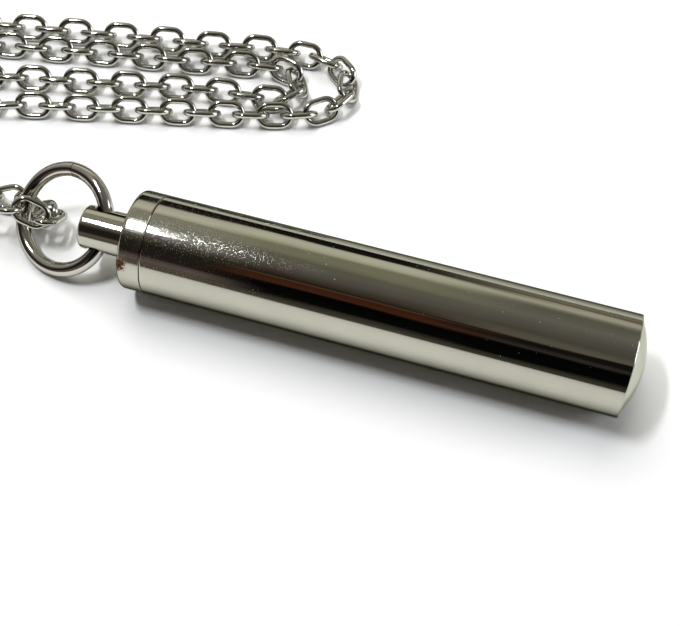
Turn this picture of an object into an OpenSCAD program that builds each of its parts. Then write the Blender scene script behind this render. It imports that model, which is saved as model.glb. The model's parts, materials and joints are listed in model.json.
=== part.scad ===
// Capsule pendant on a cable chain: a screw-open steel tube that hides a rolled note.
// Frame: +X runs along the capsule from its ring to its domed end, +Z is up.
// The floor is Z = 0, and the origin is under the middle of the capsule and its ring.
// The chain lies on the floor beside the capsule, with its spare length in a coil.

/* [Capsule] */
// Outer diameter of the tube and the cap
body_d = 10; // [9.6:0.1:10.4]
// Length of the tube from the seam to its flat rim
tube_len = 47.1; // [40:0.1:60]
// Height of the shallow dome on the closed end
dome_h = 1.3; // [0.8:0.1:1.6]
// Diameter of the hollow that holds the note
bore_d = 7.2; // [6.8:0.1:7.4]
// Length of the cap that shows
cap_len = 2.4; // [2.2:0.1:3]
// Rounding of the cap's outer edge
cap_edge = 0.45; // [0.2:0.05:0.6]

/* [Screw thread] */
// Outer diameter of the thread on the cap
thread_d = 7.9; // [7.8:0.05:8]
// Pitch of the thread
thread_pitch = 1; // [0.75:0.25:1]
// Length of the threaded plug behind the seal
thread_len = 4; // [3:1:5]

/* [Bail post] */
// Diameter of the post
post_d = 4.4; // [4.2:0.1:4.6]
// Length of the post in front of the cap
post_len = 5.3; // [5.1:0.1:6]
// Diameter of the cross hole that the ring passes through
hole_d = 2.4; // [2.4:0.05:2.6]
// Distance of the cross hole from the end of the post
hole_back = 1.75; // [1.7:0.05:2]

/* [Ring] */
// Radius of the ring's centre line
ring_r = 5.1; // [5.05:0.05:5.15]
// Diameter of the ring's wire
ring_wire = 1.5; // [1.3:0.05:1.5]
// Lean of the cross hole from upright
ring_lean = 54; // [52:1:56]
// Turn of the ring about the cross hole
ring_swing = 15; // [13:1:17]

/* [Chain] */
// Outer length of a chain link
link_len = 4.2; // [4.1:0.05:4.25]
// Outer width of a chain link
link_w = 3; // [2.9:0.05:3.05]
// Diameter of the chain's wire
link_wire = 0.65; // [0.55:0.05:0.65]
// Distance between links as the chain lies
link_pitch = 2.66; // [2.62:0.01:2.7]

/* [Clasp] */
// Thickness of the lobster clasp
clasp_t = 2.3; // [2.1:0.1:2.3]
// Radius of the clasp's hook
hook_r = 3.3; // [3.2:0.1:3.4]
// Radius of the opening inside the hook
hook_bore = 2.1; // [1.9:0.1:2.1]

/* [Hidden] */
$fn = 64;

steel = "lightsteelblue";
bright = "silver";
rubber = "dimgray";
body_r = body_d / 2;
bore_r = bore_d / 2;
seam_gap = 0.05;
seam_break = 0.12;
rim_break = 0.1;

// The closed end: a domed plug pressed into a step of the tube.
plug_len = 2.5;
plug_r = 4.75;
plug_fit = 0.01;

// The open end: a wide mouth for the seal and the neck, then a threaded bush pressed into the tube.
seal_bore_r = 4.5;
seal_room = 2.65;
bush_r = 4.5;
bush_fit = 0.01;
bush_len = 3.5;
thread_r = thread_d / 2;
thread_clear = 0.1;
thread_deep = 0.45;
neck_r = 3.5;
neck_len = 1.1;
plug_lead = 0.4;
seal_r = 3.98;
seal_wire = 0.9;

post_r = post_d / 2;
post_edge = 0.3;
tenon_r = 1.5;
tenon_len = 1.6;
tenon_fit = 0.01;
hole_x = -cap_len - post_len + hole_back;
wire_off = 0.38;
joint_gap = 0.06;
joint_turn = 200;

// The ring leans: hole_axis is the way through the post, ring_axis is square to the ring,
// and to_centre points from the post to the ring's centre.
hole_axis = [0, sin(ring_lean), cos(ring_lean)];
open_axis = [0, -cos(ring_lean), sin(ring_lean)];
to_centre = [-cos(ring_swing), 0, 0] - sin(ring_swing) * open_axis;
ring_axis = cos(ring_swing) * open_axis + [-sin(ring_swing), 0, 0];

// The origin is under the middle of the box round the capsule and its ring.
function reach(i) = ring_r * sqrt(1 - ring_axis[i] * ring_axis[i]) + ring_wire / 2;
ring_x = hole_x + wire_off + ring_r * to_centre[0];
ring_y = ring_r * to_centre[1];
seam_x = -(ring_x - reach(0) + tube_len + dome_h) / 2;
axis_y = -(ring_y + reach(1) - body_r) / 2;
axis_z = body_r;
ring_centre = [seam_x + ring_x, axis_y + ring_y, axis_z + ring_r * to_centre[2]];

// The chain's places below are for a ring centred at this x, and they move along with the ring.
given_ring_x = -26.3;
chain_x = ring_centre[0] - given_ring_x;

// The chain lies with every other link turned a quarter, each tilted by 45 degrees.
link_tilt = 45;
rest_z = 1.17;
bunch = 0.5;
steps = 8;
back_cuts = [0, 9, 20, 25, 44, 72];
front_cuts = [0, 11, 22, 28, 45, 69];

// The links that hang in the ring: x, y, z, then heading, climb and roll in degrees.
RING_LINKS = [
    [-34.9, -0.3, 3.1, -169, -40, 45],
    [-32.4, -0.4, 4.3, 179, -17, -44],
    [-29.8, 0.1, 4.1, 178, 18, 39],
    [-28.3, 0.8, 3, -96, 34, 175],
    [-29.5, 1.8, 1.7, 172, -37, 28],
    [-31.5, 2.7, 1.2, 154, 12, -33],
    [-34.7, 3, 1.5, -136, 2, 76]];

// The way of each strand over the floor, from the ring to the coil.
BACK_WAY = [
    [-38, 3.2], [-41.2, 4.6], [-43.8, 7], [-44.4, 10.2], [-42.8, 12.9], [-40, 14.3],
    [-36.8, 15.3], [-31.4, 16.6], [-26, 17.9], [-20.6, 19.2], [-15.3, 20.5], [-10.5, 21.8],
    [-6.9, 23.3], [-4.8, 25.8], [-5, 28.7], [-7.6, 30.6], [-11.5, 30.9], [-16, 30.4],
    [-21, 29.4], [-26, 28.6], [-31, 27.7], [-36, 26.8], [-41, 25.9], [-46, 25], [-52, 24],
    [-58, 23.4], [-64, 23.2]];
FRONT_WAY = [
    [-38.6, -0.9], [-43, -1.1], [-47, 0.6], [-49.8, 4.2], [-50.8, 9], [-49.6, 13.3],
    [-46.4, 16.3], [-42.4, 17.9], [-38, 18.9], [-33, 20], [-28, 21.1], [-23, 22.2], [-19, 23],
    [-14.4, 23.5], [-11.4, 24], [-10, 25.9], [-11.4, 27.9], [-14.4, 28], [-19, 27.2],
    [-23, 26.3], [-28, 25.4], [-33, 24.5], [-38, 23.5], [-43, 22.6], [-48, 21.6], [-53, 20.9],
    [-58, 20.5], [-64, 20.4]];
coil_centre = [-68, 9.2];
coil_r = [14, 11.2];
coil_close = 2;
coil_from = 93;
coil_to = 400;
coil_points = 30;

// The clasp lies inside the coil, and the catch ring at the outer strand's end.
clasp_eye = [-59.05, 13.15, 1.17];
clasp_turn = 200;
eye_r = 1.75;
eye_bore = 1.1;
eye_t = 0.8;
hook_x = 8;
nose_x = 10.05;
gate_to = 128;
slot_t = 1.3;
lever_t = 1.1;
gate_side = 0.15;
gate_x = 9.98;
gate_root = 150;
pivot = [4.1, 1.9];
pin_r = 0.45;
pin_press = 0.01;
pin_fit = 0.03;
hub_r = 0.95;
small_ring_r = 1.75;
small_ring_wire = 0.7;
CLASP_RING = [-58.4, 11.8, 1.8, 93, 0, 55];
CATCH_RING = [-55.4, 11.05, 1.61, 88, 0, -45];

// The lever's spring stands in a pocket and is as short as the pressed lever leaves it.
spring_turns = 4;
spring_r = 0.34;
spring_wire = 0.1;
spring_len = 1.6;
spring_at = [4.9, -1.1];
pocket = [4.35, -1.2, 5.45];

// ---- helpers ----

// Cylinders and turned shapes along the capsule, x measured from the seam.
module along_x(x = 0) {
    translate([seam_x + x, axis_y, axis_z]) rotate([0, 90, 0]) children();
}

// A turned solid from half-outline points [radius, x].
module turned(outline) {
    along_x() rotate_extrude() polygon(outline);
}

// Points a Z axis along a direction.
module face(v) {
    rotate([0, acos(v[2]), atan2(v[1], v[0])]) children();
}

// Half of a link's end, bent round from the straight wires.
module link_end(bend, straight, wire) {
    translate([straight, 0, 0])
        rotate([0, 0, -90]) rotate_extrude(angle = 180) translate([bend, 0]) circle(d = wire);
}

// One closed link, its length along X and flat in Z.
module link() {
    bend = (link_w - link_wire) / 2;
    straight = (link_len - link_w) / 2;
    link_end(bend, straight, link_wire);
    rotate([0, 0, 180]) link_end(bend, straight, link_wire);
    for (side = [-1, 1])
        translate([-straight, side * bend, 0])
            rotate([0, 90, 0]) cylinder(h = 2 * straight, d = link_wire);
}

// Puts a part down at [x, y, z, heading, climb, roll].
module lay(p) {
    translate([p[0] + chain_x, p[1], p[2]]) rotate([-p[5], -p[4], p[3]]) children();
}

// A smooth line through points, with k steps between each pair.
function blend(a, b, c, d, t) = 0.5 * (2 * b + (c - a) * t + (2 * a - 5 * b + 4 * c - d) * t * t
    + (3 * b - a - 3 * c + d) * t * t * t);
function before(p, i) = i == 0 ? 2 * p[0] - p[1] : p[i - 1];
function after(p, i) = i == len(p) - 2 ? 2 * p[i + 1] - p[i] : p[i + 2];
function smooth_line(p, k) = [
    for (i = [0 : len(p) - 2], j = [0 : k - 1])
        blend(before(p, i), p[i], p[i + 1], after(p, i), j / k)];

// The coil goes round its centre and closes in a little.
function coil_way(r) = [
    for (k = [0 : coil_points - 1])
        let (turn = (coil_to - coil_from) * k / (coil_points - 1))
        let (radius = r - coil_close * turn / 360)
        coil_centre + radius * [cos(coil_from + turn), sin(coil_from + turn)]];

// Distances along a line, in which a bend counts as longer so that links bunch up there.
function heading(p, i) = atan2(p[i + 1][1] - p[i][1], p[i + 1][0] - p[i][0]);
function wrap(a) = a > 180 ? a - 360 : (a < -180 ? a + 360 : a);
function bend_at(p, i) = i < 1 || i > len(p) - 2 ? 0 : abs(wrap(heading(p, i) - heading(p, i - 1)));
function stretch(p, i) = i > len(p) - 2 ? 0 : norm(p[i + 1] - p[i]) + bunch * bend_at(p, i) * PI / 180;
function distances(p) = [for (i = 0, s = 0; i < len(p); s = s + stretch(p, i), i = i + 1) s];
function table(p, d, axis) = [for (i = [0 : len(p) - 1]) [d[i], p[i][axis]]];

// Where link number k of a strand lies, as [x, y, z, heading, climb, roll].
function link_place(tx, ty, k) =
    let (s = k * link_pitch, ahead = s + link_pitch / 2, behind = max(0, s - link_pitch / 2))
    let (dx = lookup(ahead, tx) - lookup(behind, tx), dy = lookup(ahead, ty) - lookup(behind, ty))
    [lookup(s, tx), lookup(s, ty), rest_z, atan2(dy, dx), 0, k % 2 == 0 ? -link_tilt : link_tilt];

module strand(way, r, cuts, part) {
    line = smooth_line(concat(way, coil_way(r)), steps);
    d = distances(line);
    tx = table(line, d, 0);
    ty = table(line, d, 1);
    color(bright)
        for (k = [cuts[part] : cuts[part + 1] - 1]) lay(link_place(tx, ty, k)) link();
}

module back_strand(part) strand(BACK_WAY, coil_r[0], back_cuts, part);
module front_strand(part) strand(FRONT_WAY, coil_r[1], front_cuts, part);

// ---- capsule ----

module tube_body() {
    bush_step = seal_room + bush_len;
    plug_step = tube_len - plug_len;
    color(steel)
        turned([
            [seal_bore_r, seam_gap], [body_r - seam_break, seam_gap], [body_r, seam_gap + seam_break],
            [body_r, tube_len - rim_break], [body_r - rim_break, tube_len], [plug_r, tube_len],
            [plug_r, plug_step], [bore_r, plug_step], [bore_r, bush_step], [bush_r, bush_step]]);
}

module end_plug() {
    dome_r = (plug_r * plug_r + dome_h * dome_h) / (2 * dome_h);
    color(steel) along_x(tube_len - plug_len + plug_fit) {
        cylinder(h = plug_len - plug_fit, r = plug_r - plug_fit);
        translate([0, 0, plug_len - plug_fit]) intersection() {
            cylinder(h = dome_h, r = plug_r - plug_fit);
            translate([0, 0, dome_h - dome_r]) sphere(r = dome_r);
        }
    }
}

module thread_bush() {
    inner = thread_r + thread_clear;
    color(steel)
        turned([
            [inner + plug_lead, seal_room], [bush_r - bush_fit, seal_room],
            [bush_r - bush_fit, seal_room + bush_len - bush_fit], [inner, seal_room + bush_len - bush_fit],
            [inner, seal_room + plug_lead]]);
}

// The thread is cut as rings of one pitch, from the neck to the lead-in.
module screw_cap() {
    root = thread_r - thread_deep;
    turns = floor(thread_len / thread_pitch);
    teeth = [for (k = [0 : turns - 1], tooth = [[0, 0], [0.4, 1], [0.6, 1]])
        [root + tooth[1] * thread_deep, neck_len + (k + tooth[0]) * thread_pitch]];
    end_x = neck_len + turns * thread_pitch;
    color(steel) difference() {
        turned(concat(
            [[0, -cap_len], [body_r - cap_edge, -cap_len], [body_r - cap_edge * 0.3, -cap_len + cap_edge * 0.3],
             [body_r, -cap_len + cap_edge], [body_r, -seam_break], [body_r - seam_break, 0],
             [neck_r, 0], [neck_r, neck_len]],
            teeth,
            [[root, end_x], [root - plug_lead, end_x + plug_lead], [0, end_x + plug_lead]]));
        along_x(-cap_len) cylinder(h = tenon_len + tenon_fit, r = tenon_r + tenon_fit);
    }
}

module seal_ring() {
    color(rubber) along_x(neck_len / 2)
        rotate_extrude() translate([seal_r, 0]) circle(d = seal_wire);
}

module bail_post() {
    color(steel) difference() {
        union() {
            turned([
                [0, -cap_len - post_len], [post_r - post_edge, -cap_len - post_len],
                [post_r, -cap_len - post_len + post_edge], [post_r, -cap_len], [0, -cap_len]]);
            along_x(-cap_len - 0.1) cylinder(h = tenon_len + 0.1, r = tenon_r);
        }
        translate([seam_x + hole_x, axis_y, axis_z])
            face(hole_axis) cylinder(h = body_d, d = hole_d, center = true);
    }
}

// A bent wire ring, closed but for the hairline where its two ends meet.
module pendant_ring() {
    color(bright) translate(ring_centre) face(ring_axis) difference() {
        rotate_extrude() translate([ring_r, 0]) circle(d = ring_wire);
        rotate([0, 0, joint_turn]) translate([ring_r, 0, 0])
            cube([ring_wire * 2, joint_gap, ring_wire * 2], center = true);
    }
}

// ---- chain ----

module ring_links() {
    color(bright) for (p = RING_LINKS) lay(p) link();
}
module back_turn_links() back_strand(0);
module near_row_links() back_strand(1);
module hairpin_links() back_strand(2);
module far_row_links() back_strand(3);
module back_coil_links() back_strand(4);
module front_turn_links() front_strand(0);
module inner_row_links() front_strand(1);
module inner_fold_links() front_strand(2);
module inner_return_links() front_strand(3);
module front_coil_links() front_strand(4);

// ---- clasp, drawn flat with its eye at the origin and its hook towards +X ----

module clasp_lay() {
    translate(clasp_eye + [chain_x, 0, 0]) rotate([0, 0, clasp_turn]) children();
}

module slab(t) {
    translate([0, 0, -t / 2]) linear_extrude(t) children();
}

// The part of a disc of radius wide from one angle to another, under half a turn.
module wedge(from, to, wide) {
    reach = 3 * wide;
    mid = (from + to) / 2;
    polygon([[0, 0], reach * [cos(from), sin(from)], reach * [cos(mid), sin(mid)], reach * [cos(to), sin(to)]]);
}

module clasp_body() {
    shoulder = [[1.9, -1], [1.9, 1], [3, 2.7], [4.6, 3.1], [hook_x, hook_r], [hook_x, -hook_r], [4, -2]];
    slot_floor = [[pocket[2], 0.1], [pocket[2], pocket[1]], [pocket[0], pocket[1]], [pocket[0], 0.3]];
    color(bright) clasp_lay() difference() {
        union() {
            slab(eye_t) {
                circle(r = eye_r);
                polygon([[0.9, -0.9], [0.9, 0.9], [2.2, 0.9], [2.2, -0.9]]);
            }
            slab(clasp_t) difference() {
                union() {
                    translate([hook_x, 0]) circle(r = hook_r);
                    polygon(shoulder);
                }
                translate([hook_x, 0]) {
                    circle(r = hook_bore);
                    intersection() {
                        wedge(0, gate_to, hook_r);
                        translate([-hook_r, 0]) square([hook_r + nose_x - hook_x, 2 * hook_r]);
                    }
                }
            }
        }
        slab(clasp_t) circle(r = eye_bore);
        slab(slot_t) polygon(concat([[2.4, 0.3], [2.4, 4], [7.2, 4], [7.2, 0.4]], slot_floor));
        translate([pivot[0], pivot[1], 0]) cylinder(h = clasp_t + 1, r = pin_r + pin_press, center = true);
    }
}

// The lever turns on the pin and closes the hook's gate.
module clasp_lever() {
    color(bright) clasp_lay() difference() {
        union() {
            translate([pivot[0], pivot[1], 0]) cylinder(h = lever_t, r = hub_r, center = true);
            slab(lever_t) {
                translate([hook_x, 0]) intersection() {
                    difference() {
                        circle(r = hook_r - 0.1);
                        circle(r = hook_bore + gate_side);
                    }
                    wedge(0, gate_root, hook_r);
                    translate([-hook_r, 0]) square([hook_r + gate_x - hook_x, hook_r]);
                }
                polygon([pivot + [0, -0.9], pivot + [0.4, 0.9], [5.6, 2.6], [5.9, 1.2]]);
                polygon([pivot + [-0.9, 0.1], pivot + [-0.7, 2.1], pivot + [0.1, 2.3], pivot + [0.9, 0.4]]);
            }
        }
        translate([pivot[0], pivot[1], 0]) cylinder(h = clasp_t, r = pin_r + pin_fit, center = true);
    }
}

module clasp_pin() {
    color(bright) clasp_lay() translate([pivot[0], pivot[1], 0])
        cylinder(h = clasp_t, r = pin_r, center = true);
}

module clasp_spring() {
    sides = 6;
    rings = 12 * spring_turns;
    pts = [for (k = [0 : rings], s = [0 : sides - 1])
        let (turn = 360 * spring_turns * k / rings, around = 360 * s / sides)
        let (r = spring_r + spring_wire * cos(around))
        [r * cos(turn), r * sin(turn), spring_wire * sin(around) + spring_len * k / rings]];
    skin = [for (k = [0 : rings - 1], s = [0 : sides - 1])
        let (n = (s + 1) % sides)
        [k * sides + s, (k + 1) * sides + s, (k + 1) * sides + n, k * sides + n]];
    ends = [[for (s = [0 : sides - 1]) s], [for (s = [sides - 1 : -1 : 0]) rings * sides + s]];
    color(bright) clasp_lay() translate([spring_at[0], spring_at[1], 0]) rotate([-90, 0, 0])
        polyhedron(pts, concat(skin, ends));
}

module small_ring(p) {
    color(bright) lay(p) rotate_extrude() translate([small_ring_r, 0]) circle(d = small_ring_wire);
}
module clasp_ring() small_ring(CLASP_RING);
module catch_ring() small_ring(CATCH_RING);

tube_body();
end_plug();
thread_bush();
screw_cap();
seal_ring();
bail_post();
pendant_ring();
ring_links();
back_turn_links();
near_row_links();
hairpin_links();
far_row_links();
back_coil_links();
front_turn_links();
inner_row_links();
inner_fold_links();
inner_return_links();
front_coil_links();
clasp_body();
clasp_lever();
clasp_pin();
clasp_spring();
clasp_ring();
catch_ring();
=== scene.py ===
import json
import math

import bmesh
import bpy
import numpy as np
from mathutils import Matrix, Vector


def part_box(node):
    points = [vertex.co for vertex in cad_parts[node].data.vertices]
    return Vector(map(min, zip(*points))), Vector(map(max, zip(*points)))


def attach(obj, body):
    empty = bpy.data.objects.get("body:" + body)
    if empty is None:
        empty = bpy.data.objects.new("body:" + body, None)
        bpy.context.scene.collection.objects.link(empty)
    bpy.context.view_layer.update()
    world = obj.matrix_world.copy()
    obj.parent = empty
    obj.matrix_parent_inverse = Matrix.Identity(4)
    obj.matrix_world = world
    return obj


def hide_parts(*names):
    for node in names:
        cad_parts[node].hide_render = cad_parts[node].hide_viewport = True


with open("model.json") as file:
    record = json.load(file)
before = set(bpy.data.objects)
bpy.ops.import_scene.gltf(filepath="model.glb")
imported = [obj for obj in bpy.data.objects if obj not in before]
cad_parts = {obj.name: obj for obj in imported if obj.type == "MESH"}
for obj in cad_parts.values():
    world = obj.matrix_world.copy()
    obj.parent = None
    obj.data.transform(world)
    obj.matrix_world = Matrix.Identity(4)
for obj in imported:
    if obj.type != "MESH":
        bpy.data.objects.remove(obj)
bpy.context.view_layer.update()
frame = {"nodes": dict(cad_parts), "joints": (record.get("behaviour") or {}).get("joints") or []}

MM = 0.001
JOINTS = {j["name"]: j for j in frame["joints"]}

# ---- sizes, from the frame where it has them ----

tube_low, tube_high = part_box("tube_body")
cap_low, cap_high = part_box("screw_cap")
post_low, post_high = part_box("bail_post")
plug_low, plug_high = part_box("end_plug")
bush_low, bush_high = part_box("thread_bush")

AXIS = Vector((0, (tube_low.y + tube_high.y) / 2, (tube_low.z + tube_high.z) / 2))
BODY_R = (tube_high.z - tube_low.z) / 2
SEAM_GAP = 0.05 * MM
FIT = 0.01 * MM          # air round a pressed piece
HOLD = 0.03 * MM         # distance of the point that keeps a flat shaded flat beside a round
SEAM_X = tube_low.x - SEAM_GAP
PLUG_R = (plug_high.z - plug_low.z) / 2
BORE_R = 3.6 * MM
BUSH_R = (bush_high.z - bush_low.z) / 2
THREAD_R = 3.95 * MM
THREAD_DEEP = 0.45 * MM
THREAD_PITCH = 1 * MM
THREAD_LEAD = 0.4 * MM
BUSH_BORE_R = 4.05 * MM
NECK_R = 3.5 * MM
NECK_LEN = 1.1 * MM
TENON_R = 1.5 * MM
TENON_LEN = 1.6 * MM
CAP_EDGE = 0.45 * MM
SEAM_EDGE = 0.1 * MM
POST_EDGE = 0.3 * MM
RIM_EDGE = 0.25 * MM
POST_R = (post_high.z - post_low.z) / 2
HOLE_R = 1.2 * MM
HOLE = Vector(JOINTS["capsule_swing"]["pos_m"])
HOLE_AXIS = -Vector(JOINTS["capsule_swing"]["axis"])
RING = Vector(JOINTS["ring_turn"]["pos_m"])
RING_AXIS = Vector(JOINTS["ring_turn"]["axis"])
RING_R = 5.1 * MM
RING_WIRE = 1.5 * MM
RING_JOINT = math.radians(200)
RING_JOINT_GAP = 0.06 * MM

# ---- camera ----

LOOK_AT = Vector((3.43, -2.69, 5)) * MM
LOOK_AZ = math.radians(16.96)
LOOK_EL = math.radians(58.67)
LOOK_FROM = 124.27 * MM
LENS = 68.84

camera_data = bpy.data.cameras.new("camera")
camera_data.lens = LENS
camera_data.sensor_width = 36
camera_data.clip_start = 0.005
camera = bpy.data.objects.new("camera", camera_data)
bpy.context.scene.collection.objects.link(camera)
towards = Vector((math.sin(LOOK_AZ) * math.cos(LOOK_EL), -math.cos(LOOK_AZ) * math.cos(LOOK_EL),
                  math.sin(LOOK_EL)))
camera.location = LOOK_AT + LOOK_FROM * towards
camera.rotation_euler = towards.to_track_quat("Z", "Y").to_euler()
bpy.context.scene.camera = camera
bpy.context.scene.view_settings.view_transform = "Standard"


# ---- mesh helpers ----

def new_piece(name, points, faces, body, material):
    """A mesh piece that rides on a body."""
    mesh = bpy.data.meshes.new(name)
    mesh.from_pydata([tuple(p) for p in points], [], faces)
    mesh.update()
    mesh.polygons.foreach_set("use_smooth", [True] * len(mesh.polygons))
    mesh.materials.append(material)
    piece = bpy.data.objects.new(name, mesh)
    bpy.context.scene.collection.objects.link(piece)
    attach(piece, body)
    return piece


def rounded(outline, steps=5, hold=HOLD):
    """The closed outline's points (x, r, fillet), with each corner turned into a small round.

    A point just past each round holds the flat beside it flat when it is smooth shaded."""
    points = []
    count = len(outline)
    for i, (x, r, fillet) in enumerate(outline):
        here = Vector((x, r))
        if fillet <= 0:
            points.append(here)
            continue
        back = Vector(outline[i - 1][:2]) - here
        on = Vector(outline[(i + 1) % count][:2]) - here
        fillet = min(fillet, 0.45 * back.length, 0.45 * on.length)
        start, end = here + back.normalized() * fillet, here + on.normalized() * fillet
        points.append(start + back.normalized() * min(hold, 0.05 * back.length))
        for k in range(steps + 1):
            t = k / steps
            points.append((1 - t) ** 2 * start + 2 * t * (1 - t) * here + t * t * end)
        points.append(end + on.normalized() * min(hold, 0.05 * on.length))
    return points


def quarter_round(x, r, edge, steps):
    """Outline points of an edge's round, from the end face at x out to the radius r."""
    angles = (math.pi / 2 * k / steps for k in range(steps + 1))
    return [(x + edge * (1 - math.cos(a)), r - edge * (1 - math.sin(a))) for a in angles]


def lathe(name, outline, body, material, around=192, closed=True):
    """A solid turned about the capsule's axis from an outline of (x, r) in metres.

    A closed outline is a ring's section, and may give a fillet too. An open one starts and ends
    on the axis."""
    profile = rounded(outline) if len(outline[0]) == 3 else [Vector(p) for p in outline]
    points, faces = [], []
    inner = profile if closed else profile[1:-1]
    for k in range(around):
        turn = 2 * math.pi * k / around
        for x, r in inner:
            points.append((x, AXIS.y + r * math.cos(turn), AXIS.z + r * math.sin(turn)))
    rows = len(inner)
    for k in range(around):
        a, b = k * rows, (k + 1) % around * rows
        for i in range(rows if closed else rows - 1):
            j = (i + 1) % rows
            faces.append((a + i, b + i, b + j, a + j))
    if not closed:
        for end, row in ((profile[0], 0), (profile[-1], rows - 1)):
            pole = len(points)
            points.append((end.x, AXIS.y, AXIS.z))
            for k in range(around):
                a, b = k * rows + row, (k + 1) % around * rows + row
                faces.append((pole, b, a) if row == 0 else (pole, a, b))
    piece = new_piece(name, points, faces, body, material)
    face_out(piece)
    return piece


def face_out(piece):
    """Turns every face outwards."""
    work = bmesh.new()
    work.from_mesh(piece.data)
    bmesh.ops.recalc_face_normals(work, faces=work.faces)
    work.to_mesh(piece.data)
    work.free()


def tube_along(path, radius, around, closed=True, up=Vector((0, 0, 1))):
    """Points and faces of a round wire along a path of points. An open wire's ends stay open."""
    count = len(path)
    points, faces = [], []
    for i, p in enumerate(path):
        if closed:
            along = (path[(i + 1) % count] - path[i - 1]).normalized()
        else:
            along = (path[min(i + 1, count - 1)] - path[max(i - 1, 0)]).normalized()
        side = along.cross(up).normalized()
        top = side.cross(along)
        for k in range(around):
            turn = 2 * math.pi * k / around
            points.append(p + radius * (math.cos(turn) * side + math.sin(turn) * top))
    for i in range(count if closed else count - 1):
        a, b = i * around, (i + 1) % count * around
        for k in range(around):
            n = (k + 1) % around
            faces.append((a + k, b + k, b + n, a + n))
    return points, faces


# ---- material helpers ----

class Nodes:
    """A short way to build a material's or the world's nodes."""

    def __init__(self, tree):
        self.tree = tree

    def add(self, kind, **settings):
        node = self.tree.nodes.new(kind)
        for key, value in settings.items():
            setattr(node, key, value)
        return node

    def link(self, source, target):
        self.tree.links.new(source, target)

    def math(self, operation, a, b=0.0, clamp=False):
        node = self.add("ShaderNodeMath", operation=operation, use_clamp=clamp)
        for socket, value in zip(node.inputs, (a, b)):
            if isinstance(value, (int, float)):
                socket.default_value = value
            else:
                self.link(value, socket)
        return node.outputs[0]

    def span(self, value, low, high, to_low=0.0, to_high=1.0):
        node = self.add("ShaderNodeMapRange", interpolation_type="SMOOTHSTEP")
        self.link(value, node.inputs["Value"])
        for key, number in (("From Min", low), ("From Max", high),
                            ("To Min", to_low), ("To Max", to_high)):
            node.inputs[key].default_value = number
        return node.outputs["Result"]

    def ramp(self, value, stops):
        node = self.add("ShaderNodeValToRGB")
        elements = node.color_ramp.elements
        while len(elements) < len(stops):
            elements.new(0.5)
        for element, (place, colour) in zip(elements, stops):
            element.position = place
            element.color = (*colour, 1)
        self.link(value, node.inputs["Fac"])
        return node.outputs["Color"]

    def mix(self, factor, a, b):
        node = self.add("ShaderNodeMix", data_type="RGBA")
        for key, value in (("Factor", factor), ("A", a), ("B", b)):
            sockets = [s for s in node.inputs if s.name == key and s.enabled]
            if isinstance(value, (int, float)):
                sockets[0].default_value = value
            elif isinstance(value, tuple):
                sockets[0].default_value = (*value, 1)
            else:
                self.link(value, sockets[0])
        return [s for s in node.outputs if s.enabled][0]

    def place(self, scale):
        """Object coordinates times a scale, in repeats per metre along each axis."""
        coordinates = self.add("ShaderNodeTexCoord")
        mapping = self.add("ShaderNodeMapping")
        mapping.inputs["Scale"].default_value = scale
        self.link(coordinates.outputs["Object"], mapping.inputs["Vector"])
        return mapping.outputs["Vector"]

    def noise(self, scale, detail=3.0, rough=0.5):
        node = self.add("ShaderNodeTexNoise")
        node.inputs["Scale"].default_value = 1
        node.inputs["Detail"].default_value = detail
        node.inputs["Roughness"].default_value = rough
        self.link(self.place(scale), node.inputs["Vector"])
        return node.outputs["Fac"]

    def specks(self, per_metre, size, keep):
        """1 inside small scattered spots and 0 elsewhere. keep is the share of cells with a spot."""
        vector = self.place((per_metre,) * 3)
        cells = self.add("ShaderNodeTexVoronoi", feature="F1")
        cells.inputs["Scale"].default_value = 1
        self.link(vector, cells.inputs["Vector"])
        near = self.span(cells.outputs["Distance"], size * 0.5, size, 1, 0)
        split = self.add("ShaderNodeSeparateColor")
        self.link(cells.outputs["Color"], split.inputs["Color"])
        return self.math("MULTIPLY", near, self.math("LESS_THAN", split.outputs["Red"], keep))


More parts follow.
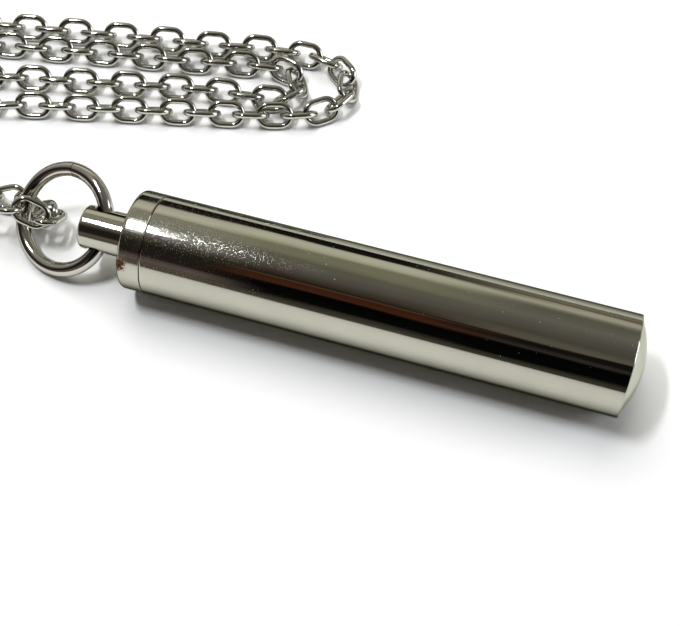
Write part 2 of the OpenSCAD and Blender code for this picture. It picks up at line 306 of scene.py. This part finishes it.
def steel(name, colour, rough, scratch, specks=0.0, stretch=(1, 1, 1), stain=None, grain=0.0,
          edge=0.35):
    """Polished steel: faint colour clouds, fine scratches, haze and dust specks.

    rough is the cleanest spot's roughness and scratch the strength of the scratches, which stretch
    draws out. specks is the share of dust, and grain the share of fine dull specks, which scatter
    a lamp's light into a haze. edge is the brightness at a grazing angle; a low edge is painted
    shade, darker reflections along the rims, and a high edge a painted bright reflection."""
    material = bpy.data.materials.new(name)
    material.use_nodes = True
    n = Nodes(material.node_tree)
    shader = material.node_tree.nodes["Principled BSDF"]
    clouds = n.noise((260, 420, 420), 3)
    tint = n.ramp(clouds, [(0.3, tuple(c * 0.94 for c in colour)), (0.7, colour)])
    fine = n.noise(tuple(9000 * s for s in stretch), 2, 0.7)
    lines = n.noise(tuple(2600 * s for s in stretch), 4, 0.75)
    haze = n.span(n.noise((330, 500, 500), 3, 0.6), 0.42, 0.75)
    roughness = n.math("ADD", n.math("MULTIPLY", haze, rough * 0.9), rough)
    roughness = n.math("ADD", roughness, n.math("MULTIPLY", n.span(lines, 0.55, 0.8), rough * 1.5))
    metal, height = None, n.math("ADD", n.math("MULTIPLY", lines, 0.6), n.math("MULTIPLY", fine, 0.4))
    if specks:
        dust = n.specks(2600, 0.16, specks)
        tint = n.mix(dust, tint, (0.62, 0.62, 0.64))
        roughness = n.math("ADD", roughness, n.math("MULTIPLY", dust, 0.35))
        height = n.math("ADD", height, n.math("MULTIPLY", dust, 2.0))
    if grain:
        # The specks are thickest beside the seam, where fingers turn the tube.
        coordinates = n.add("ShaderNodeTexCoord")
        along = n.add("ShaderNodeSeparateXYZ")
        n.link(coordinates.outputs["Object"], along.inputs["Vector"])
        worn = n.span(along.outputs["X"], SEAM_X + 2 * MM, SEAM_X + 22 * MM, 1.0, 0.12)
        dull = n.math("MAXIMUM", n.math("MULTIPLY", n.specks(16000, 0.6, grain), 0.8),
                      n.specks(7000, 0.24, grain * 0.5))
        dull = n.math("MULTIPLY", dull, worn)
        roughness = n.math("ADD", roughness, n.math("MULTIPLY", dull, 0.4))
    if stain:
        tint, roughness, metal = stain(n, tint, roughness)
    n.link(tint, shader.inputs["Base Color"])
    n.link(n.math("MINIMUM", roughness, 1.0), shader.inputs["Roughness"])
    if metal is None:
        shader.inputs["Metallic"].default_value = 1
    else:
        n.link(metal, shader.inputs["Metallic"])
    bump = n.add("ShaderNodeBump")
    bump.inputs["Strength"].default_value = scratch
    bump.inputs["Distance"].default_value = 0.002 * MM
    n.link(height, bump.inputs["Height"])
    n.link(bump.outputs["Normal"], shader.inputs["Normal"])
    shader.inputs["Specular Tint"].default_value = (edge, edge, edge * 0.9, 1)
    return material


def rust(centre, reach):
    """A small brown stain about a point, with a ragged edge."""
    def stain(n, tint, roughness):
        coordinates = n.add("ShaderNodeTexCoord")
        away = n.add("ShaderNodeVectorMath", operation="DISTANCE")
        n.link(coordinates.outputs["Object"], away.inputs[0])
        away.inputs[1].default_value = centre
        ragged = n.math("MULTIPLY", n.noise((3600, 3600, 3600), 6, 0.85), reach * 3.0)
        mask = n.span(n.math("SUBTRACT", away.outputs["Value"], ragged),
                      -0.95 * reach, -0.6 * reach, 1, 0)
        brown = n.ramp(n.noise((4200, 4200, 4200), 3),
                       [(0.35, (0.02, 0.007, 0.002)), (0.7, (0.17, 0.075, 0.02))])
        return (n.mix(mask, tint, brown), n.math("ADD", roughness, n.math("MULTIPLY", mask, 0.6)),
                n.math("SUBTRACT", 1.0, n.math("MULTIPLY", mask, 0.85)))
    return stain


def rubber(name):
    material = bpy.data.materials.new(name)
    material.use_nodes = True
    n = Nodes(material.node_tree)
    shader = material.node_tree.nodes["Principled BSDF"]
    cloud = n.noise((900, 900, 900), 4, 0.6)
    n.link(n.ramp(cloud, [(0.3, (0.012, 0.012, 0.013)), (0.7, (0.03, 0.03, 0.031))]),
           shader.inputs["Base Color"])
    n.link(n.span(cloud, 0.3, 0.7, 0.45, 0.65), shader.inputs["Roughness"])
    bump = n.add("ShaderNodeBump")
    bump.inputs["Strength"].default_value = 0.3
    bump.inputs["Distance"].default_value = 0.01 * MM
    n.link(n.noise((6000, 6000, 6000), 3), bump.inputs["Height"])
    n.link(bump.outputs["Normal"], shader.inputs["Normal"])
    return material


STEEL = (0.50, 0.49, 0.415)
RUST_AT = Vector((SEAM_X - 2.1 * MM, AXIS.y - 4.3 * MM, AXIS.z + 2.1 * MM))
# edge=0.1 on the tube and the cap darkens their reflections at grazing angles: painted shade along their
# top and bottom.
tube_steel = steel("tube_steel", STEEL, 0.035, 0.25, specks=0.07, stretch=(0.06, 1, 1),
                   grain=0.11, edge=0.1)
cap_steel = steel("cap_steel", STEEL, 0.10, 0.3, specks=0.05, stretch=(0.1, 1, 1),
                  grain=0.04, edge=0.1, stain=rust(RUST_AT, 1.0 * MM))
# The dome's steel is a lighter copy of the tube's steel with bright grazing rims: a painted bright
# reflection of the lit floor beside it.
dome_steel_painted_bright = steel("dome_steel_painted_bright", (0.56, 0.57, 0.50), 0.06, 0.25, specks=0.03, edge=0.7)
post_steel = steel("post_steel", STEEL, 0.05, 0.2, stretch=(0.1, 1, 1))
ring_steel = steel("ring_steel", (0.58, 0.55, 0.50), 0.07, 0.3)
link_steel = steel("link_steel", (0.58, 0.575, 0.52), 0.08, 0.25)
clasp_steel = steel("clasp_steel", STEEL, 0.09, 0.3)
turned_steel = steel("turned_steel", (0.66, 0.65, 0.63), 0.22, 0.8, stretch=(1, 0.1, 0.1))
spring_steel = steel("spring_steel", (0.60, 0.59, 0.57), 0.2, 0.4)
black_rubber = rubber("black_rubber")


# ---- chain ----

# The seven links that hang in the ring, then the back strand's first: x, y, z in mm, and heading,
# climb and roll in degrees.
RING_LINKS = [
    (-34.9, -0.3, 3.1, -169, -40, 45), (-32.4, -0.4, 4.3, 179, -17, -44), (-29.8, 0.1, 4.1, 178, 18, 39),
    (-28.3, 0.8, 3, -96, 34, 175), (-29.5, 1.8, 1.7, 172, -37, 28), (-31.5, 2.7, 1.2, 154, 12, -33),
    (-33.9, 2.68, 1.41, -162.9, -17.3, 47.3), (-36.66, 2.88, 1.34, 159.9, -1.9, -38.6)]

# The way of each strand over the floor, in metres, from the ring to the coil.
BACK_WAY = [
    (-0.0369, 0.0026),
    (-0.038, 0.0032), (-0.0412, 0.0046), (-0.0438, 0.007), (-0.0444, 0.0102), (-0.0428, 0.0129),
    (-0.04, 0.0143), (-0.0368, 0.0153), (-0.0314, 0.0166), (-0.026, 0.0179), (-0.0206, 0.0192),
    (-0.0153, 0.0205), (-0.0105, 0.0218), (-0.0069, 0.0233), (-0.0048, 0.0258), (-0.005, 0.0287),
    (-0.0076, 0.0306), (-0.0115, 0.0309), (-0.016, 0.0304), (-0.021, 0.0294), (-0.026, 0.0286),
    (-0.031, 0.0277), (-0.036, 0.0268), (-0.041, 0.0259), (-0.046, 0.025), (-0.052, 0.024),
    (-0.058, 0.0234), (-0.064, 0.0232)]
FRONT_WAY = [
    (-0.0374, -0.0006),
    (-0.0386, -0.0009), (-0.043, -0.0011), (-0.047, 0.0006), (-0.0498, 0.0042), (-0.0508, 0.009),
    (-0.0496, 0.0133), (-0.0464, 0.0163), (-0.0424, 0.0179), (-0.038, 0.0189), (-0.033, 0.02),
    (-0.028, 0.0211), (-0.023, 0.0222), (-0.019, 0.023), (-0.0144, 0.0235), (-0.0114, 0.024),
    (-0.01, 0.0259), (-0.0114, 0.0279), (-0.0144, 0.028), (-0.019, 0.0272), (-0.023, 0.0263),
    (-0.028, 0.0254), (-0.033, 0.0245), (-0.038, 0.0235), (-0.043, 0.0226), (-0.048, 0.0216),
    (-0.053, 0.0209), (-0.058, 0.0205), (-0.064, 0.0204)]
COIL_CENTRE = np.array((-0.068, 0.0092))
COIL_FROM, COIL_TO, COIL_POINTS = 93, 400, 30
COIL_CLOSE = 2 * MM
BACK_COIL_R, FRONT_COIL_R = 14 * MM, 11.2 * MM
BACK_LINKS, FRONT_LINKS = 72, 69
CHAIN_X = RING.x + 26.3 * MM     # the ways above are given for a ring at x = -26.3 mm

LINK_LEN, LINK_W, LINK_WIRE = 4.2 * MM, 3 * MM, 0.65 * MM
LINK_PITCH = 2.66 * MM
LINK_TURN_STEPS, LINK_AROUND = 14, 14
SOLDER_REACH, SOLDER_SWELL = 0.35 * MM, 0.05
BUNCH = 0.5 * MM         # extra length that a radian of bend counts as
TIGHT_LINKS = 8          # links next to the ring, which are drawn out to reach it
FRONT_RISE = (0.6 * MM, 0.15 * MM)
LINK_TILT = 45
REST_Z = 1.17 * MM
LINE_STEPS = 8


def smooth_line(points):
    """The Catmull-Rom line through points."""
    p = np.array(points)
    p = np.vstack([2 * p[0] - p[1], p, 2 * p[-1] - p[-2]])
    line = []
    for i in range(1, len(p) - 2):
        a, b, c, d = p[i - 1:i + 3]
        for t in np.arange(LINE_STEPS) / LINE_STEPS:
            line.append(0.5 * (2 * b + (c - a) * t + (2 * a - 5 * b + 4 * c - d) * t * t
                               + (3 * b - a - 3 * c + d) * t ** 3))
    return np.array(line)


def coil_way(radius):
    """The way of a strand's last part, wound inwards about the coil's centre."""
    turns = (COIL_TO - COIL_FROM) * np.arange(COIL_POINTS) / (COIL_POINTS - 1)
    r = radius - COIL_CLOSE * turns / 360
    angle = np.radians(COIL_FROM + turns)
    return (COIL_CENTRE + np.stack([r * np.cos(angle), r * np.sin(angle)], 1)).tolist()


def distances(line):
    """Distances along a line, in which a bend counts as longer so that links bunch up there."""
    step = np.diff(line, axis=0)
    heading = np.unwrap(np.arctan2(step[:, 1], step[:, 0]))
    stretch = np.linalg.norm(step, axis=1)
    stretch[1:] += BUNCH * np.abs(np.diff(heading))
    return np.concatenate([[0], np.cumsum(stretch)])


def link_poses(way, radius, count, rise=()):
    """Each link's (x, y, z, heading, climb, roll), in metres and degrees, along a strand.

    rise lifts the first links, which come down from the ring."""
    line = smooth_line(list(way) + coil_way(radius))
    along = distances(line)
    poses = []
    for k in range(count):
        s = along[LINE_STEPS] + max(k, TIGHT_LINKS) * LINK_PITCH
        if k < TIGHT_LINKS:
            s *= k / TIGHT_LINKS
        x, y = (np.interp(s, along, line[:, i]) for i in (0, 1))
        ahead, behind = s + LINK_PITCH / 2, max(0, s - LINK_PITCH / 2)
        dx, dy = (np.interp(ahead, along, line[:, i]) - np.interp(behind, along, line[:, i])
                  for i in (0, 1))
        roll = -LINK_TILT if k % 2 == 0 else LINK_TILT
        lift = rise[k] if k < len(rise) else 0
        heading = math.degrees(math.atan2(dy, dx))
        climb = -2 * math.degrees(math.asin(lift / LINK_LEN))
        poses.append((x + CHAIN_X, y, REST_Z + lift, heading, climb, roll))
    return poses


def lay(pose):
    """The matrix that lays a part at (x, y, z, heading, climb, roll)."""
    x, y, z, heading, climb, roll = pose
    turn = (Matrix.Rotation(math.radians(heading), 4, "Z")
            @ Matrix.Rotation(math.radians(-climb), 4, "Y")
            @ Matrix.Rotation(math.radians(-roll), 4, "X"))
    return Matrix.Translation((x, y, z)) @ turn


def link_shape(side):
    """One oval link of bent wire, with its soldered joint as a faint swelling on one straight.

    side is 1 or -1, the straight that has the joint."""
    bend, straight = (LINK_W - LINK_WIRE) / 2, (LINK_LEN - LINK_W) / 2
    path = []
    for sign, middle in ((1, 0.0), (-1, math.pi)):
        for k in range(LINK_TURN_STEPS + 1):
            a = middle - math.pi / 2 + math.pi * k / LINK_TURN_STEPS
            path.append(Vector((sign * straight + bend * math.cos(a), bend * math.sin(a), 0)))
        path.append(Vector((0, sign * bend, 0)))
    points, faces = tube_along(path, LINK_WIRE / 2, LINK_AROUND)
    joint = Vector((0, side * bend, 0))
    swollen = []
    for i, p in enumerate(points):
        core = path[i // LINK_AROUND]
        near = max(0, 1 - (core - joint).length / SOLDER_REACH)
        swollen.append(core + (p - core) * (1 + SOLDER_SWELL * near * near))
    return swollen, faces


LINKS = [link_shape(side) for side in (-1, 1)]


def chain(name, poses, node_names):
    """A stretch of chain as one piece of separate links."""
    points, faces = [], []
    for i, pose in enumerate(poses):
        shape, sides = LINKS[i % 2]
        matrix, base = lay(pose), len(points)
        points.extend(matrix @ p for p in shape)
        faces.extend(tuple(base + v for v in f) for f in sides)
    piece = new_piece(name, points, faces, "chain", link_steel)
    face_out(piece)
    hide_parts(*node_names)
    return piece


near_poses = [(p[0] * MM + CHAIN_X, p[1] * MM, p[2] * MM) + p[3:] for p in RING_LINKS]
ring_poses = near_poses[:-1]
back_poses = [near_poses[-1]] + link_poses(BACK_WAY, BACK_COIL_R, BACK_LINKS)[1:]
front_poses = link_poses(FRONT_WAY, FRONT_COIL_R, FRONT_LINKS, FRONT_RISE)
chain("ring_chain", ring_poses, ["ring_links"])
back_chain = chain("back_chain", back_poses, [
    "back_turn_links", "near_row_links", "hairpin_links", "far_row_links", "back_coil_links"])
front_chain = chain("front_chain", front_poses, [
    "front_turn_links", "inner_row_links", "inner_fold_links", "inner_return_links", "front_coil_links"])


# ---- capsule ----

def tube():
    """The tube: a wide mouth, the long bore and the seat of the domed plug."""
    near_x, far_x = tube_low.x, tube_high.x
    plug_step, bush_step = plug_low.x - FIT, bush_high.x + FIT
    plug_seat_r, mouth_r = PLUG_R + FIT, BUSH_R + FIT
    outline = [
        (near_x, mouth_r, 0.08 * MM), (near_x, BODY_R, 0.13 * MM),
        (far_x, BODY_R, RIM_EDGE), (far_x, plug_seat_r, 0.04 * MM),
        (plug_step, plug_seat_r, 0.03 * MM), (plug_step, BORE_R, 0.1 * MM),
        (bush_step, BORE_R, 0.1 * MM), (bush_step, mouth_r, 0.03 * MM)]
    piece = lathe("tube", outline, "tube", tube_steel, around=256)
    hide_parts("tube_body")


def plug():
    """The domed plug: a straight shank with a lead-in, and a shallow part of a sphere."""
    dome = plug_high.x - tube_high.x
    radius = (PLUG_R ** 2 + dome ** 2) / (2 * dome)
    steps = 24
    reach = math.asin(PLUG_R / radius)
    outline = [
        (plug_low.x, 0), (plug_low.x, PLUG_R - 0.3 * MM),
        (plug_low.x + 0.1 * MM, PLUG_R - 0.08 * MM), (plug_low.x + 0.3 * MM, PLUG_R),
        (tube_high.x - HOLD, PLUG_R)]
    for k in range(steps + 1):
        a = reach * (1 - k / steps)
        outline.append((plug_high.x - radius * (1 - math.cos(a)), radius * math.sin(a)))
    piece = lathe("end_dome", outline, "plug_carrier", dome_steel_painted_bright,
                  around=256, closed=False)
    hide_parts("end_plug")


def bush():
    """The threaded bush, with its thread as a row of grooves in the bore."""
    crest, root = BUSH_BORE_R, BUSH_BORE_R + 0.3 * MM
    outline = [
        (bush_low.x, crest + THREAD_LEAD, 0), (bush_low.x, BUSH_R, 0.08 * MM),
        (bush_high.x, BUSH_R, 0.08 * MM), (bush_high.x, crest, 0.04 * MM)]
    x = bush_high.x - 0.15 * MM
    while x - THREAD_PITCH > bush_low.x + THREAD_LEAD:
        outline += [
            (x, crest, 0), (x - 0.3 * THREAD_PITCH, root, 0),
            (x - 0.5 * THREAD_PITCH, root, 0), (x - 0.8 * THREAD_PITCH, crest, 0)]
        x -= THREAD_PITCH
    outline.append((bush_low.x + THREAD_LEAD, crest, 0))
    piece = lathe("bush", outline, "thread_carrier", turned_steel)
    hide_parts("thread_bush")


def cap():
    """The cap, the seal's neck behind the seam, and the thread as a row of ridges on the plug."""
    root, neck_end = THREAD_R - THREAD_DEEP, SEAM_X + NECK_LEN
    thread_end = cap_high.x - THREAD_LEAD
    outline = [(cap_low.x, 0), (cap_low.x, TENON_R), (cap_low.x, BODY_R - CAP_EDGE - HOLD)]
    outline += quarter_round(cap_low.x, BODY_R, CAP_EDGE, 8)
    outline += [(cap_low.x + CAP_EDGE + HOLD, BODY_R), (SEAM_X - SEAM_EDGE - HOLD, BODY_R)]
    for k in range(5):
        a = math.pi / 2 * k / 4
        outline.append((SEAM_X - SEAM_EDGE * (1 - math.sin(a)), BODY_R - SEAM_EDGE * (1 - math.cos(a))))
    outline += [
        (SEAM_X, BODY_R - SEAM_EDGE - HOLD), (SEAM_X, NECK_R + 0.05 * MM),
        (SEAM_X + 0.05 * MM, NECK_R), (neck_end, NECK_R)]
    x = neck_end
    while x + THREAD_PITCH < thread_end + FIT:
        outline += [
            (x, root), (x + 0.32 * MM, THREAD_R - HOLD), (x + 0.4 * MM, THREAD_R),
            (x + 0.6 * MM, THREAD_R), (x + 0.68 * MM, THREAD_R - HOLD)]
        x += THREAD_PITCH
    outline += [(x, root), (cap_high.x, root - THREAD_LEAD), (cap_high.x, 0)]
    piece = lathe("cap", outline, "cap", cap_steel, around=256, closed=False)
    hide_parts("screw_cap")


def post():
    """The post with its tenon, and the cross hole cut through it."""
    start, joint = post_low.x, cap_low.x
    outline = [(start, 0), (start, POST_R - POST_EDGE - HOLD)]
    outline += quarter_round(start, POST_R, POST_EDGE, 8)
    outline += [
        (start + POST_EDGE + HOLD, POST_R), (joint - HOLD, POST_R), (joint, POST_R),
        (joint, TENON_R), (joint + TENON_LEN, TENON_R), (joint + TENON_LEN, 0)]
    piece = lathe("post", outline, "cap", post_steel, closed=False)
    drill = drill_for_ring()
    cut = piece.modifiers.new("hole", "BOOLEAN")
    cut.operation, cut.object, cut.solver = "DIFFERENCE", drill, "EXACT"
    apply(piece, cut.name)
    bpy.data.objects.remove(drill)
    sharpen(piece, 30)
    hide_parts("bail_post")


def drill_for_ring():
    """The cross hole's cutter, a plain cylinder that reaches past the post on both sides."""
    turn = HOLE_AXIS.to_track_quat("Z", "Y").to_matrix()
    around, reach = 96, 3.2 * MM
    points, faces = [], []
    for z in (-reach, reach):
        for k in range(around):
            a = 2 * math.pi * k / around
            points.append(HOLE + turn @ Vector((HOLE_R * math.cos(a), HOLE_R * math.sin(a), z)))
    for k in range(around):
        n = (k + 1) % around
        faces.append((k, n, around + n, around + k))
    faces.append(tuple(range(around))[::-1])
    faces.append(tuple(range(around, 2 * around)))
    mesh = bpy.data.meshes.new("drill")
    mesh.from_pydata([tuple(p) for p in points], [], faces)
    drill = bpy.data.objects.new("drill", mesh)
    bpy.context.scene.collection.objects.link(drill)
    return drill


def apply(piece, name):
    """Applies a modifier to a piece."""
    bpy.context.view_layer.objects.active = piece
    with bpy.context.temp_override(object=piece, active_object=piece, selected_objects=[piece]):
        bpy.ops.object.modifier_apply(modifier=name)


def sharpen(piece, degrees):
    """Keeps edges crisp where the faces meet at more than this angle."""
    piece.data.polygons.foreach_set("use_smooth", [True] * len(piece.data.polygons))
    work = bmesh.new()
    work.from_mesh(piece.data)
    for edge in work.edges:
        if len(edge.link_faces) == 2:
            edge.smooth = edge.calc_face_angle(0) < math.radians(degrees)
    work.to_mesh(piece.data)
    work.free()


def ring():
    """The wire ring, with its two cut ends a hair out of line where they meet."""
    turn = (Matrix.Rotation(math.atan2(RING_AXIS.y, RING_AXIS.x), 3, "Z")
            @ Matrix.Rotation(math.acos(RING_AXIS.z), 3, "Y"))
    gap, steps, around = RING_JOINT_GAP / 2 / RING_R, 180, 36
    sprung, sprung_steps = 0.05 * MM, 6
    path = []
    for k in range(steps + 1):
        a = RING_JOINT + gap + (2 * math.pi - 2 * gap) * k / steps
        r = RING_R + sprung * (1 - min(1, k / sprung_steps))
        path.append(RING + turn @ Vector((r * math.cos(a), r * math.sin(a), 0)))
    points, faces = tube_along(path, RING_WIRE / 2, around, closed=False, up=RING_AXIS)
    shrink, proud = 0.94, 0.012 * MM
    for row, side in ((0, 1), (steps, -1)):
        core = path[row]
        outward = (core - path[row + side]).normalized()
        last, base = row * around, len(points)
        points += [core + (points[last + k] - core) * shrink + outward * proud for k in range(around)]
        for k in range(around):
            n = (k + 1) % around
            faces.append((last + k, last + n, base + n, base + k))
        faces.append(tuple(base + k for k in range(around)))
    piece = new_piece("wire_ring", points, faces, "ring", ring_steel)
    face_out(piece)
    sharpen(piece, 35)
    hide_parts("pendant_ring")


tube()
plug()
bush()
cap()
post()
ring()
for node, material in (
        ("seal_ring", black_rubber), ("clasp_body", clasp_steel), ("clasp_lever", clasp_steel),
        ("clasp_pin", clasp_steel), ("clasp_spring", spring_steel), ("clasp_ring", link_steel),
        ("catch_ring", link_steel)):
    for place in frame["nodes"][node].material_slots:
        place.material = material


# ---- floor, lights and room ----

def floor():
    """A pale floor just under the object."""
    half = 0.7
    mesh = bpy.data.meshes.new("floor")
    corners = [(-half, -half, 0), (half, -half, 0), (half, half, 0), (-half, half, 0)]
    mesh.from_pydata(corners, [], [(0, 1, 2, 3)])
    material = bpy.data.materials.new("paper")
    material.use_nodes = True
    shader = material.node_tree.nodes["Principled BSDF"]
    shader.inputs["Base Color"].default_value = (0.77, 0.77, 0.765, 1)
    shader.inputs["Roughness"].default_value = 0.6
    mesh.materials.append(material)
    obj = bpy.data.objects.new("floor", mesh)
    obj.location.z = -0.02 * MM
    bpy.context.scene.collection.objects.link(obj)


def area_light(name, place, aim, size, power, colour):
    """A round lamp, or a rectangular one where the size is a pair."""
    light = bpy.data.lights.new(name, "AREA")
    if isinstance(size, tuple):
        light.shape = "RECTANGLE"
        light.size, light.size_y = size
    else:
        light.shape, light.size = "DISK", size
    light.energy, light.color = power, colour
    obj = bpy.data.objects.new(name, light)
    obj.location = place
    obj.rotation_euler = (Vector(place) - Vector(aim)).to_track_quat("Z", "Y").to_euler()
    bpy.context.scene.collection.objects.link(obj)
    return obj


# The room's colours by height, from the front horizon (0) over the top (0.5) to the back
# horizon (1): a dim strip and dark furniture in front, a grey ceiling, then a bright wall and a
# dark edge behind.
ROOM_LEFT = [
    (0.00, (0.12, 0.10, 0.08)), (0.06, (0.13, 0.11, 0.09)), (0.10, (0.18, 0.14, 0.14)),
    (0.15, (0.03, 0.02, 0.02)), (0.30, (0.02, 0.02, 0.015)), (0.36, (0.09, 0.075, 0.06)),
    (0.42, (0.25, 0.23, 0.24)), (0.50, (0.30, 0.30, 0.31)), (0.62, (0.38, 0.37, 0.31)),
    (0.71, (0.38, 0.37, 0.30)), (0.77, (0.85, 0.83, 0.70)), (0.865, (0.72, 0.68, 0.62)),
    (0.89, (0.03, 0.02, 0.015)), (1.0, (0.012, 0.01, 0.01))]
ROOM_MIDDLE = [
    (0.00, (0.10, 0.09, 0.08)), (0.04, (0.07, 0.06, 0.05)), (0.08, (0.004, 0.004, 0.004)),
    (0.20, (0.002, 0.002, 0.002)), (0.225, (0.09, 0.030, 0.015)), (0.29, (0.07, 0.022, 0.012)),
    (0.30, (0.16, 0.09, 0.06)), (0.315, (0.03, 0.02, 0.015)), (0.34, (0.04, 0.03, 0.02)),
    (0.42, (0.13, 0.11, 0.10)), (0.50, (0.17, 0.16, 0.15)), (0.57, (0.19, 0.18, 0.14)),
    (0.64, (0.30, 0.30, 0.22)), (0.72, (0.31, 0.30, 0.22)), (0.79, (0.76, 0.76, 0.62)),
    (0.845, (0.82, 0.81, 0.70)), (0.875, (0.66, 0.64, 0.56)), (0.895, (0.02, 0.015, 0.012)),
    (1.0, (0.01, 0.01, 0.01))]
ROOM_RIGHT = [
    (0.00, (0.08, 0.07, 0.06)), (0.04, (0.05, 0.05, 0.04)), (0.08, (0.003, 0.003, 0.003)),
    (0.21, (0.002, 0.002, 0.002)), (0.24, (0.05, 0.045, 0.04)), (0.27, (0.012, 0.01, 0.01)),
    (0.32, (0.012, 0.01, 0.01)), (0.335, (0.17, 0.16, 0.13)), (0.39, (0.15, 0.13, 0.11)),
    (0.42, (0.11, 0.10, 0.09)), (0.53, (0.16, 0.15, 0.14)), (0.63, (0.22, 0.21, 0.19)),
    (0.77, (0.17, 0.17, 0.14)), (0.84, (0.60, 0.58, 0.49)), (0.88, (0.62, 0.60, 0.51)),
    (0.91, (0.18, 0.16, 0.12)), (0.97, (0.30, 0.28, 0.22))]
WINDOW = (5.0, 5.2, 5.6)


def room():
    """A room all round, blended by direction, with a window of two panes to the right."""
    world = bpy.data.worlds.new("room")
    bpy.context.scene.world = world
    world.use_nodes = True
    n = Nodes(world.node_tree)
    background = world.node_tree.nodes["Background"]
    coordinates = n.add("ShaderNodeTexCoord")
    split = n.add("ShaderNodeSeparateXYZ")
    n.link(coordinates.outputs["Generated"], split.inputs["Vector"])
    x, y, z = (split.outputs[axis] for axis in "XYZ")
    turn = n.math("ARCTAN2", z, n.math("MULTIPLY", y, -1.0))
    uneven = n.add("ShaderNodeTexNoise")
    uneven.inputs["Scale"].default_value = 7
    uneven.inputs["Detail"].default_value = 1
    n.link(coordinates.outputs["Generated"], uneven.inputs["Vector"])
    place = n.math("ADD", n.math("DIVIDE", turn, math.pi),
                   n.math("MULTIPLY", n.math("SUBTRACT", uneven.outputs["Fac"], 0.5), 0.06), clamp=True)
    left, middle, right = (n.ramp(place, stops) for stops in (ROOM_LEFT, ROOM_MIDDLE, ROOM_RIGHT))
    walls = n.mix(n.span(x, -0.27, -0.21), left, middle)
    walls = n.mix(n.span(x, -0.12, 0.0), walls, right)
    pane = n.math("MULTIPLY", n.span(x, 0.62, 0.65), n.span(z, 0.10, 0.13))
    pane = n.math("MULTIPLY", pane, n.span(z, 0.62, 0.59))
    sides = n.math("MULTIPLY", n.span(y, -0.02, 0.0), n.span(y, 0.50, 0.47))
    pane = n.math("MULTIPLY", pane, sides)
    bar = n.math("MULTIPLY", n.span(y, 0.22, 0.23), n.span(y, 0.27, 0.26))
    pane = n.math("MULTIPLY", pane, n.math("SUBTRACT", 1.0, bar))
    n.link(n.mix(pane, walls, WINDOW), background.inputs["Color"])


floor()
KEY_FROM = Vector((-0.3, -0.03, 0.95)).normalized()
KEY_AT = Vector((SEAM_X - 11 * MM, 0, 0))
KEY_AWAY = 0.45
area_light("key", KEY_AT + KEY_FROM * KEY_AWAY, KEY_AT, (0.11, 0.024), 1.2, (0.93, 0.96, 1.0))
soft = area_light("soft", (-0.10, 0.20, 0.42), (0, 0, 0), 0.42, 1.95, (1.0, 0.99, 0.96))
soft.visible_glossy = False
room()
